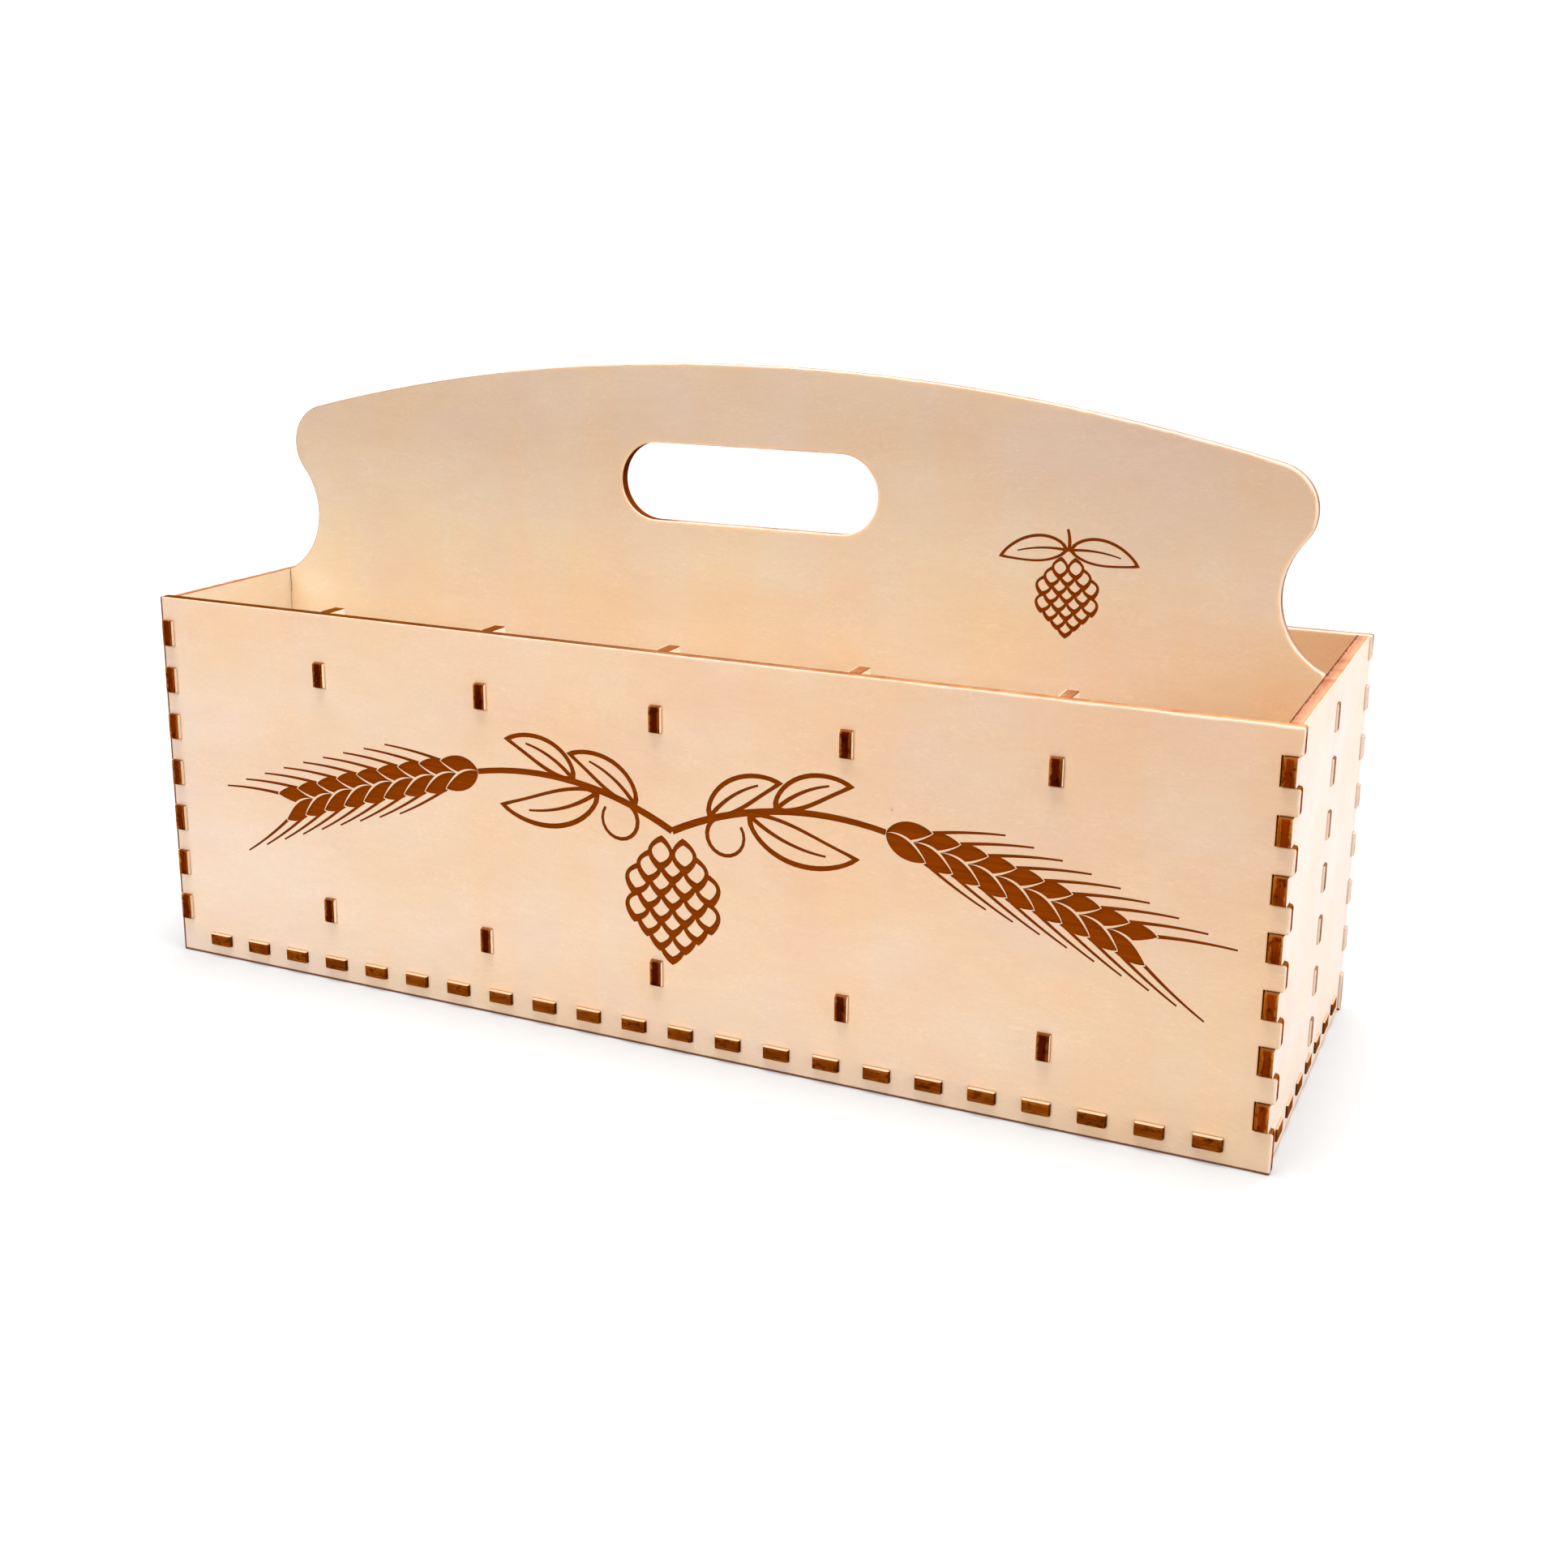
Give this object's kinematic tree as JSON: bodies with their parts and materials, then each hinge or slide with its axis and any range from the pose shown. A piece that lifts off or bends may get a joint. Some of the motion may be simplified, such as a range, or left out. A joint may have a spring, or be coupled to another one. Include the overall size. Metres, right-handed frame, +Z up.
{
  "type": "beer crate",
  "caption": "Open plywood carrier for standing bottles: finger-jointed walls, raised floor, cross dividers and a tall middle panel with a hand hole.",
  "frame": {"origin": "on the ground, under the middle of the carrier", "axes": "+X along the carrier, +Y from the front panel to the back panel, +Z up"},
  "size_m": [0.488, 0.1686, 0.2672],
  "materials": {
    "plywood": "matt poplar veneer with scorched cut edges"
  },
  "bodies": {
    "root": {"front_panel": "plywood", "back_panel": "plywood", "left_end_panel": "plywood", "right_end_panel": "plywood", "floor_panel": "plywood", "handle_panel": "plywood", "divider_1": "plywood", "divider_2": "plywood", "divider_3": "plywood", "divider_4": "plywood", "divider_5": "plywood"}
  },
  "joints": []
}
